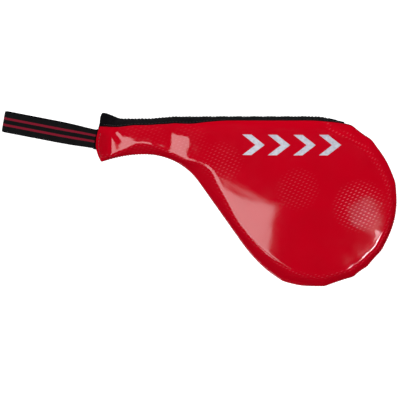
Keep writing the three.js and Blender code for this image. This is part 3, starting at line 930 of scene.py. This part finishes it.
def wrist_loop():
    """The folded webbing, swept along its path."""
    path = loop_path()
    tangent = unit(np.gradient(path, axis=0))
    normal = np.column_stack([-tangent[:, 1], tangent[:, 0]])
    pinch = 1 - smoothstep(path[:, 0], *STRAP_PINCH_ALONG)
    half_thickness = lerp(STRAP_THICKNESS, STRAP_ROOT_THICKNESS / 2, pinch) / 2
    half_width = STRAP_WIDTH / 2 * (1 - STRAP_PINCH_SHARE * pinch)
    columns = np.linspace(-1, 1, STRAP_COLUMNS)
    edge = 1 - STRAP_EDGE_THINNING * np.abs(columns) ** STRAP_EDGE_POWER
    top_side = list(zip(columns, edge))
    section = top_side + [(c, -e) for c, e in reversed(top_side)]
    points, across = [], []
    for i, (along, height) in enumerate(path):
        for c, side in section:
            offset = normal[i] * half_thickness[i] * side
            place = STRAP_ROOT * [1, 1, 0] + strap_along * (along + offset[0])
            place = place + strap_across * (c * half_width[i]) + np.array([0, 0, height + offset[1]])
            points.append(place)
            across.append(c)
    m = len(section)
    faces = quads(len(path), m)
    faces.append(tuple(reversed(range(m))))
    faces.append(tuple(range(len(points) - m, len(points))))
    piece = make_piece("wrist_loop_webbing", points, faces)
    along = np.repeat(lengths_along(path), m)
    set_flat_place(piece, "sheet", along, np.array(across) * STRAP_WIDTH / 2)
    piece.data.set_sharp_from_angle(angle=math.radians(50))
    return piece


# ---- printed mark


def surface_finder(piece):
    """A function that takes a place in plan to the piece's top there, as a point and a normal."""
    tree = BVHTree.FromObject(piece, bpy.context.evaluated_depsgraph_get())

    def drop(place):
        x, y = place
        hit, normal, _, _ = tree.ray_cast(Vector((x * MM, y * MM, 0.2)), Vector((0, 0, -1)))
        return np.array(hit) / MM, np.array(normal)

    return drop


def printed_chevron(index, surface_point):
    """A foil chevron that lies on the cover, in the place of its CAD node."""
    low, high = box_mm(f"print_chevron_{index}")
    width, height = high[0] - low[0], high[1] - low[1]
    corners = np.array(
        [
            (0, 0),
            (CHEVRON_ARM, 0),
            (width, height / 2),
            (CHEVRON_ARM, height),
            (0, height),
            (width - CHEVRON_ARM, height / 2),
        ]
    )
    border = []
    for side in zip(corners, np.roll(corners, -1, axis=0)):
        line = bezier(side, np.linspace(0, 1, 40))
        border.append(resample(line, max(2, round(lengths_along(line)[-1] / PRINT_BORDER_SPACING))))
    border = np.vstack(border)
    inner = lattice(corners.min(0), corners.max(0), PRINT_MESH_SPACING)
    inner = inner[inside(inner, border)]
    gaps = np.min(np.linalg.norm(inner[:, None] - border[None], axis=2), axis=1)
    plan = np.vstack([border, inner[gaps > PRINT_BORDER_GAP]]) + low[:2]
    filled = triangulate(plan, len(border))
    points = []
    for place in filled[0]:
        hit, normal = surface_point(place)
        points.append(hit + normal * (PRINT_CLEARANCE + PRINT_THICKNESS))
    piece = make_piece(f"foil_chevron_{index}", points, filled[2])
    thicken(piece, PRINT_THICKNESS)
    return piece


# ---- stitches


def stitch(points, radius, rows, faces):
    """Adds one rounded stitch along three or more points to the growing rows and faces."""
    points = np.asarray(points)
    tangent = unit(np.gradient(points, axis=0))
    up = np.array([0, 0, 1.0])
    start = len(rows)
    taper = np.sqrt(np.clip(1 - np.linspace(-0.96, 0.96, len(points)) ** 6, 0.05, 1))
    for p, d, r in zip(points, tangent, taper):
        across = unit(np.cross(d, up))
        lift = np.cross(across, d)
        for k in range(STITCH_SIDES):
            a = 2 * math.pi * k / STITCH_SIDES
            rows.append(p + radius * r * (across * math.cos(a) + lift * math.sin(a)))
    end = len(rows)
    faces.extend(quads(len(points), STITCH_SIDES, start, flipped=True))
    faces.append(tuple(range(start, start + STITCH_SIDES)))
    faces.append(tuple(reversed(range(end - STITCH_SIDES, end))))


def stitch_row(name, line, surface_point, size):
    """A row of stitches along a line. surface_point gives a place on the sewn surface and its normal,
    and size is the row's (pitch, stitch length, thread radius)."""
    pitch, length, radius = size
    along = lengths_along(line)
    # The thread lies on the sheet and sinks into it at the stitch's two ends
    arch = 0.75 * radius - 1.2 * radius * np.linspace(-1, 1, STITCH_POINTS) ** 4
    rows, faces = [], []
    start = ROW_MARGIN
    while start + length < along[-1] - ROW_MARGIN:
        at = np.linspace(start, start + length, STITCH_POINTS)
        centres = np.column_stack([np.interp(at, along, line[:, k]) for k in range(line.shape[1])])
        points = []
        for centre, rise in zip(centres, arch):
            place, normal = surface_point(centre)
            points.append(place + normal * rise)
        stitch(points, radius, rows, faces)
        start += pitch
    return make_piece(name, rows, faces)


def closing_stitches(surface_point):
    """The sewn row across the butt that closes the covers and holds the strap."""
    line = butt_edge.points - butt_edge.out * CLOSING_INSET
    return stitch_row("closing_stitches", line, surface_point, CLOSING_STITCHES)


def wrapped_stitches(surface_point):
    """The row in the lip at the foot of the wrapped side."""
    lip = np.interp(wrapped_edge.along, *np.array(LIP, float).T)
    line = wrapped_edge.points - wrapped_edge.out * (0.5 * lip + WRAPPED_INSET)[:, None]
    return stitch_row("wrapped_stitches", line, surface_point, WRAPPED_STITCHES)


def gusset_stitches(name, share):
    """A row along the gusset, beside one of its seams. Each place on its line also holds the line's
    direction there. The normals stand square to it and to the band's own slope half way along."""
    slopes = unit(gusset_row(0.5) - gusset_row(0.0))
    slope = slopes[len(slopes) // 2]
    line = gusset_row(share)
    guide = np.column_stack([line, unit(np.gradient(line, axis=0))])

    def surface_point(p):
        normal = unit(np.cross(p[3:], slope))
        return p[:3], normal if normal[1] > 0 else -normal

    return stitch_row(name, guide, surface_point, GUSSET_STITCHES)


# ---- materials


class Graph:
    """A small helper to write a material's node tree."""

    def __init__(self, name):
        self.material = bpy.data.materials.new(name)
        self.material.use_nodes = True
        self.tree = self.material.node_tree
        self.shader = self.tree.nodes["Principled BSDF"]

    def node(self, kind, settings=None, **inputs):
        """Adds a node. Each input is a number, a colour or another node's socket."""
        node = self.tree.nodes.new(kind)
        for key, value in (settings or {}).items():
            setattr(node, key, value)
        for key, value in inputs.items():
            self.feed(node.inputs[key.replace("_", " ")], value)
        return node

    def feed(self, socket, value):
        if isinstance(value, bpy.types.NodeSocket):
            self.tree.links.new(value, socket)
        else:
            socket.default_value = value

    def math(self, operation, a, b=0.0):
        node = self.node("ShaderNodeMath", {"operation": operation})
        self.feed(node.inputs[0], a)
        self.feed(node.inputs[1], b)
        return node.outputs[0]

    def times(self, a, b):
        return self.math("MULTIPLY", a, b)

    def wave(self, angle):
        """The sine without its sign."""
        return self.math("ABSOLUTE", self.math("SINE", angle))

    def attribute(self, name, output="Vector"):
        return self.node("ShaderNodeAttribute", {"attribute_name": name}).outputs[output]

    def position(self):
        return self.node("ShaderNodeTexCoord").outputs["Object"]

    def turned(self, vector, degrees, scale):
        """The vector turned about Z and scaled, as three outputs."""
        mapping = self.node(
            "ShaderNodeMapping",
            Vector=vector,
            Rotation=(0, 0, math.radians(degrees)),
            Scale=(scale, scale, scale),
        )
        return self.node("ShaderNodeSeparateXYZ", Vector=mapping.outputs[0]).outputs

    def noise(self, vector, scale, detail):
        node = self.node("ShaderNodeTexNoise", Vector=vector, Scale=scale, Detail=detail)
        return node.outputs["Fac"]

    def ramp(self, value, low, high, out_low=0.0, out_high=1.0):
        """Takes the range low to high to out_low to out_high, and holds still beyond its ends."""
        node = self.node(
            "ShaderNodeMapRange",
            Value=value,
            From_Min=low,
            From_Max=high,
            To_Min=out_low,
            To_Max=out_high,
        )
        return node.outputs[0]

    def mix(self, share, a, b):
        """Mixes two colours: sockets 6 and 7 of a colour Mix node are its A and B."""
        node = self.node("ShaderNodeMix", {"data_type": "RGBA"})
        self.feed(node.inputs["Factor"], share)
        self.feed(node.inputs[6], a)
        self.feed(node.inputs[7], b)
        return node.outputs[2]

    def bump(self, height, distance, strength=1.0, normal=None):
        node = self.node("ShaderNodeBump", Height=height, Distance=distance, Strength=strength)
        if normal is not None:
            self.feed(node.inputs["Normal"], normal)
        return node.outputs[0]

    def set(self, **inputs):
        for key, value in inputs.items():
            self.feed(self.shader.inputs[key.replace("_", " ")], value)
        return self.material


def colour(red, green, blue):
    """A linear colour from 0-255 display values."""

    def linear(v):
        v /= 255
        return v / 12.92 if v <= 0.04045 else ((v + 0.055) / 1.055) ** 2.4

    return (linear(red), linear(green), linear(blue), 1.0)


def crease(g, place):
    """A low step across the grip's crease, fading out at its two ends."""
    (start_x, start_y), (end_x, end_y) = CREASE_START, CREASE_END
    turn = math.atan2(start_y - end_y, end_x - start_x)
    along, across, _ = g.turned(place, math.degrees(turn), 1 / MM)
    first = start_x * math.cos(turn) - start_y * math.sin(turn)
    last = end_x * math.cos(turn) - end_y * math.sin(turn)
    level = start_x * math.sin(turn) + start_y * math.cos(turn)
    step = g.ramp(across, level - CREASE_WIDTH / 2, level + CREASE_WIDTH / 2)
    start_fade = g.ramp(along, *(first + offset for offset in CREASE_START_FADE))
    end_fade = g.ramp(along, *(last + offset for offset in CREASE_END_FADE))
    return g.times(step, g.times(start_fade, end_fade))


def painted_dot_glint(g, off_u, off_v, relief_and_glint):
    """A slanting pale dash painted on the top of each dot that still stands up: a painted glint."""
    long, wide = PAINTED_GLINT_SIZE
    along = g.math("DIVIDE", g.math("ADD", off_u, off_v), long * math.sqrt(2))
    beside = g.math("DIVIDE", g.math("SUBTRACT", off_u, off_v), wide * math.sqrt(2))
    away = g.math("ADD", g.times(along, along), g.times(beside, beside))
    return g.times(g.ramp(away, 1.2, 0.5), g.ramp(relief_and_glint, 0.3, 1.0, 0.0, 0.8))


def embossed_vinyl(name, base, deep_tone_and_shade, dot_relief_and_glint=None, roughness=0.07):
    """Coated vinyl, embossed with low round dots, each dot painted up to 0.3 of the way to the deeper
    colour as shade. The optional fourth argument names the attribute that says how much the dots still
    stand up, on a cover that is worn and creased, and how strong the painted glints on them are."""
    g = Graph(name)
    place = g.attribute("plan")
    u, v, _ = g.turned(place, DOT_TURN, 1 / (DOT_PITCH * MM))
    off_u, off_v = (g.math("SUBTRACT", g.math("FRACT", c), 0.5) for c in (u, v))
    squared = g.math("ADD", g.times(off_u, off_u), g.times(off_v, off_v))
    relief_and_glint = g.attribute(dot_relief_and_glint, "Fac") if dot_relief_and_glint else None
    reach = g.times(relief_and_glint, DOT_FOOT) if dot_relief_and_glint else DOT_FOOT
    rounded = g.math("SUBTRACT", g.times(reach, reach), squared)
    relief_height = g.ramp(rounded, 0.0, DOT_FOOT**2)
    worn = g.noise(place, 28.0, 3.0)
    fine = g.noise(place, 900.0, 2.0)
    # Painted shade: each dot is mixed up to 0.3 of the way to the deeper colour
    shade = g.times(relief_height, 0.3)
    cover = g.mix(g.ramp(worn, 0.3, 0.7, 0.0, 0.25), base, deep_tone_and_shade)
    tone = g.mix(shade, cover, deep_tone_and_shade)
    relief = g.bump(relief_height, DOT_HEIGHT * MM)
    if dot_relief_and_glint:
        # Painted glints: pale red dashes on the dots' tops, strongest where the dots stand up most
        tone = g.mix(painted_dot_glint(g, off_u, off_v, relief_and_glint), tone, PAINTED_GLINT_RED)
        relief = g.bump(crease(g, place), CREASE_DROP * MM, 1.0, relief)
    relief = g.bump(fine, 0.004 * MM, 0.3, relief)
    gloss = g.ramp(g.noise(place, 60.0, 4.0), 0.3, 0.7, roughness - 0.015, roughness + 0.02)
    return g.set(Base_Color=tone, Roughness=gloss, Normal=relief, Specular_IOR_Level=0.5)


def woven_fabric(name, base, dark, sheet=None, pitch=0.9):
    """Plain black cloth. sheet names the attribute that holds its flat places, where it has one."""
    g = Graph(name)
    place = g.attribute(sheet) if sheet else g.position()
    u, v, _ = g.turned(place, 0, math.pi / (pitch * MM))
    height = g.math("ABSOLUTE", g.times(g.math("SINE", u), g.math("SINE", v)))
    worn = g.noise(place, 60.0, 4.0)
    tone = g.mix(g.ramp(worn, 0.3, 0.7), base, dark)
    # Painted shade: darker down between the yarns, where the weave is low
    tone = g.mix(g.ramp(height, 0.0, 0.5, 0.6, 0.0), tone, dark)
    return g.set(
        Base_Color=tone,
        Roughness=g.ramp(worn, 0.2, 0.8, 0.8, 0.95),
        Normal=g.bump(height, 0.12 * MM, 0.7),
        Sheen_Weight=0.01,
        Sheen_Roughness=0.5,
        Specular_IOR_Level=0.06,
    )


def striped_webbing(name):
    """Ribbed elastic webbing with two narrow coloured stripes along it."""
    g = Graph(name)
    place = g.attribute("sheet")
    along, across, _ = g.node("ShaderNodeSeparateXYZ", Vector=place).outputs
    rib = g.wave(g.times(along, math.pi / (RIB_PITCH * MM)))
    yarn = g.wave(g.times(across, math.pi / (YARN_PITCH * MM)))
    height = g.math("ADD", rib, g.times(yarn, 0.5))
    stripe = 0.0
    full, gone = STRIPE_HALF_WIDTH
    for centre in STRIPE_PLACES:
        away = g.math("ABSOLUTE", g.math("SUBTRACT", across, centre * MM))
        line = g.ramp(away, full * MM, gone * MM, 1.0, 0.0)
        stripe = g.math("MAXIMUM", line, stripe)
    black = g.mix(g.ramp(g.noise(place, 90.0, 4.0), 0.3, 0.7), colour(9, 9, 11), colour(16, 15, 18))
    # Painted shade and highlight: the stripes' red is darker in the valleys between the ribs and lighter
    # on their tops
    red = g.mix(g.ramp(height, 0.1, 1.0), colour(70, 6, 22), colour(138, 20, 44))
    tone = g.mix(stripe, black, red)
    return g.set(
        Base_Color=tone,
        Roughness=0.85,
        Normal=g.bump(height, 0.18 * MM, 0.8),
        Sheen_Weight=0.02,
        Sheen_Roughness=0.5,
        Specular_IOR_Level=0.12,
    )


def silver_foil(name):
    """Pale printed foil that the vinyl's dots show through."""
    g = Graph(name)
    place = g.position()
    u, v, _ = g.turned(place, DOT_TURN, math.pi / (DOT_PITCH * MM))
    dome = g.times(g.wave(u), g.wave(v))
    worn = g.noise(place, 300.0, 4.0)
    tone = g.mix(g.ramp(worn, 0.35, 0.65), colour(206, 206, 216), colour(180, 182, 196))
    return g.set(
        Base_Color=tone,
        Roughness=g.ramp(worn, 0.3, 0.7, 0.36, 0.5),
        Normal=g.bump(dome, 0.07 * MM, 0.5),
        Metallic=0.15,
        Specular_IOR_Level=0.5,
    )


def darker(base, share):
    return tuple(share * c for c in base[:3]) + (1.0,)


def sewing_thread(name, base):
    g = Graph(name)
    twist = g.noise(g.position(), 2600.0, 1.0)
    tone = g.mix(twist, base, darker(base, 0.5))
    return g.set(Base_Color=tone, Roughness=0.6, Normal=g.bump(twist, 0.08 * MM, 0.6), Sheen_Weight=0.1)


def cell_foam(name, base):
    g = Graph(name)
    cells = g.node("ShaderNodeTexVoronoi", Vector=g.position(), Scale=700.0).outputs["Distance"]
    # Painted shade: darker in the hollow of each cell
    tone = g.mix(g.ramp(cells, 0.0, 0.6), darker(base, 0.6), base)
    return g.set(Base_Color=tone, Roughness=0.95, Normal=g.bump(cells, 0.3 * MM, 0.7))


def pressed_board(name, base):
    g = Graph(name)
    fibre = g.noise(g.position(), 420.0, 5.0)
    tone = g.mix(g.ramp(fibre, 0.35, 0.65), base, darker(base, 0.8))
    return g.set(Base_Color=tone, Roughness=0.55, Normal=g.bump(fibre, 0.05 * MM, 0.5))


def paint(piece, material):
    piece.data.materials.clear()
    piece.data.materials.append(material)


def paint_node(name, material):
    """Gives a CAD node that stays its material, without touching its mesh."""
    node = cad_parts[name]
    for slot in node.material_slots:
        slot.material = material
    if not node.material_slots:
        node.data.materials.append(material)


# ---- build

RED = colour(197, 0, 26)
RED_DEEP = colour(172, 0, 18)
# Colour of the painted glints on the dots
PAINTED_GLINT_RED = colour(228, 92, 106)
BLACK = colour(16, 14, 19)
BLACK_DEEP = colour(8, 7, 10)

front = front_cover()
back = back_cover()
band = gusset()
loop = wrist_loop()
on_front = surface_finder(front)
chevrons = [printed_chevron(number, on_front) for number in range(1, 5)]
closing_row = closing_stitches(on_front)
lip_row = wrapped_stitches(on_front)
front_row = gusset_stitches("gusset_front_stitches", share=0.1)
back_row = gusset_stitches("gusset_back_stitches", share=0.92)
blade_foam = foam_block("front_foam_block", "front_foam")
grip_foam = foam_block("grip_foam_block", "grip_pad_front")
rear_foam = foam_block("rear_foam_block", "rear_foam")

red_vinyl = embossed_vinyl("red_vinyl", RED, RED_DEEP, dot_relief_and_glint="dot_relief_and_glint")
black_vinyl = embossed_vinyl("black_vinyl", BLACK, BLACK_DEEP, roughness=0.35)
black_fabric = woven_fabric("black_fabric", BLACK, BLACK_DEEP, "sheet")
webbing = striped_webbing("striped_webbing")
foil = silver_foil("silver_foil")
red_thread = sewing_thread("red_thread", colour(170, 10, 36))
black_thread = sewing_thread("black_thread", colour(30, 30, 34))
grey_foam = cell_foam("grey_foam", colour(70, 71, 75))
core_foam = cell_foam("core_foam", colour(50, 50, 54))
white_board = pressed_board("white_board", colour(214, 214, 208))
hidden_webbing = woven_fabric("hidden_webbing", BLACK, BLACK_DEEP, pitch=1.1)

# CAD nodes that stay, hidden inside
paint_node("grip_pad_rear", grey_foam)
paint_node("grip_core", core_foam)
paint_node("stiffener_board", white_board)
paint_node("strap_anchor", hidden_webbing)

# ---- what rides on what

# Pieces on the paddle, as (piece, material, slot, the CAD node it replaces, how full its padding is)
paddle_pieces = [
    (front, red_vinyl, "front_vinyl", "front_cover", 0.85),
    (back, black_vinyl, "back_vinyl", "back_cover", 0.85),
    (band, black_fabric, "gusset_fabric", "top_gusset", 0.7),
    (closing_row, red_thread, "red_thread", "butt_closing_thread", None),
    (lip_row, red_thread, "red_thread", "seam_thread_wrapped_side", None),
    (front_row, black_thread, "black_thread", "seam_thread_gusset_front", None),
    (back_row, black_thread, "black_thread", "seam_thread_gusset_back", None),
    (blade_foam, grey_foam, "foam", "front_foam", 1.0),
    (rear_foam, grey_foam, "foam", "rear_foam", 1.0),
    (grip_foam, grey_foam, "foam", "grip_pad_front", 1.0),
]
for number, chevron in enumerate(chevrons, 1):
    paddle_pieces.append((chevron, foil, "print", f"print_chevron_{number}", None))

for piece, material, slot, node, fill in paddle_pieces:
    paint(piece, material)
    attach(piece, "paddle")
    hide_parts(node)

paint(loop, webbing)
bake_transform(loop)
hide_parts("wrist_strap")

# ---- floor, light and camera

# In metres. The camera looks at FIELD_CENTRE, given along X and along its own upward direction
CAMERA_TILT = math.radians(12)
CAMERA_DISTANCE = 2.08
LENS = 150
FIELD_CENTRE = (-0.1375, 0.0019)
LIGHT_TARGET = (-0.1, 0.0, 0.035)
LIGHT_DISTANCE = 2.0
FLOOR_HALF_SIZE = 6.0
FLOOR_GAP = 0.0004


def studio_floor():
    mesh = bpy.data.meshes.new("floor")
    size = FLOOR_HALF_SIZE
    z = cad_low.z - FLOOR_GAP
    corners = [(-size, -size, z), (size, -size, z), (size, size, z), (-size, size, z)]
    mesh.from_pydata(corners, [], [(0, 1, 2, 3)])
    floor = add_object("floor", mesh)
    floor.visible_glossy = False
    g = Graph("pale_floor")
    g.set(
        Base_Color=(0.9, 0.9, 0.9, 1),
        Roughness=0.9,
        Specular_IOR_Level=0.0,
        Emission_Color=(1, 1, 1, 1),
        Emission_Strength=0.8,
    )
    mesh.materials.append(g.material)


def studio_world():
    world = bpy.data.worlds.new("studio")
    bpy.context.scene.world = world
    world.use_nodes = True
    background = world.node_tree.nodes["Background"]
    background.inputs["Color"].default_value = (1, 1, 1, 1)
    background.inputs["Strength"].default_value = 0.45
    world.cycles_visibility.glossy = False


def softbox(name, direction, wide, size, power, seen_in):
    """A rectangular light that faces the middle of the paddle. Its longer side runs along wide, a
    direction seen from above. It is seen only in the gloss, or only in the diffuse light."""
    light = bpy.data.lights.new(name, "AREA")
    light.shape = "RECTANGLE"
    light.size, light.size_y = size
    light.energy = power
    lamp = add_object(name, light)
    toward = Vector(direction).normalized()
    rise = -(wide[0] * toward.x + wide[1] * toward.y) / toward.z
    side = Vector((wide[0], wide[1], rise)).normalized()
    turn = Matrix((side, toward.cross(side), toward)).transposed()
    place = Vector(LIGHT_TARGET) + toward * LIGHT_DISTANCE
    lamp.matrix_world = Matrix.Translation(place) @ turn.to_4x4()
    lamp.visible_glossy = seen_in == "gloss"
    lamp.visible_diffuse = seen_in == "diffuse"


def studio_camera():
    camera = bpy.data.cameras.new("camera")
    camera.lens = LENS
    camera.sensor_width = 36
    camera.dof.use_dof = False
    camera.clip_end = 50
    eye = add_object("camera", camera)
    back = Vector((0, math.sin(CAMERA_TILT), math.cos(CAMERA_TILT)))
    up = Vector((0, math.cos(CAMERA_TILT), -math.sin(CAMERA_TILT)))
    target = Vector((FIELD_CENTRE[0], 0, 0)) + up * FIELD_CENTRE[1]
    eye.location = target + back * CAMERA_DISTANCE
    eye.rotation_euler = (-CAMERA_TILT, 0, 0)
    bpy.context.scene.camera = eye


bpy.context.scene.view_settings.view_transform = "Standard"
studio_floor()
studio_world()
softbox("overhead_fill", (0, 0.35, 1), (1, 0), (1.8, 1.8), 27, seen_in="diffuse")
softbox("key_softbox", (-0.375, -0.378, 0.846), (0.93, -0.37), (1.44, 1.07), 25, seen_in="gloss")
softbox("right_strip", (0.34, -0.41, 0.846), (0.46, 0.89), (0.38, 0.06), 5.5, seen_in="gloss")
softbox("low_softbox", (-0.40, -0.82, 0.41), (1, 0), (0.3, 0.3), 3, seen_in="gloss")
softbox("lip_softbox", (-0.45, -0.64, 0.623), (0.8, -0.6), (0.4, 0.14), 2.5, seen_in="gloss")
studio_camera()
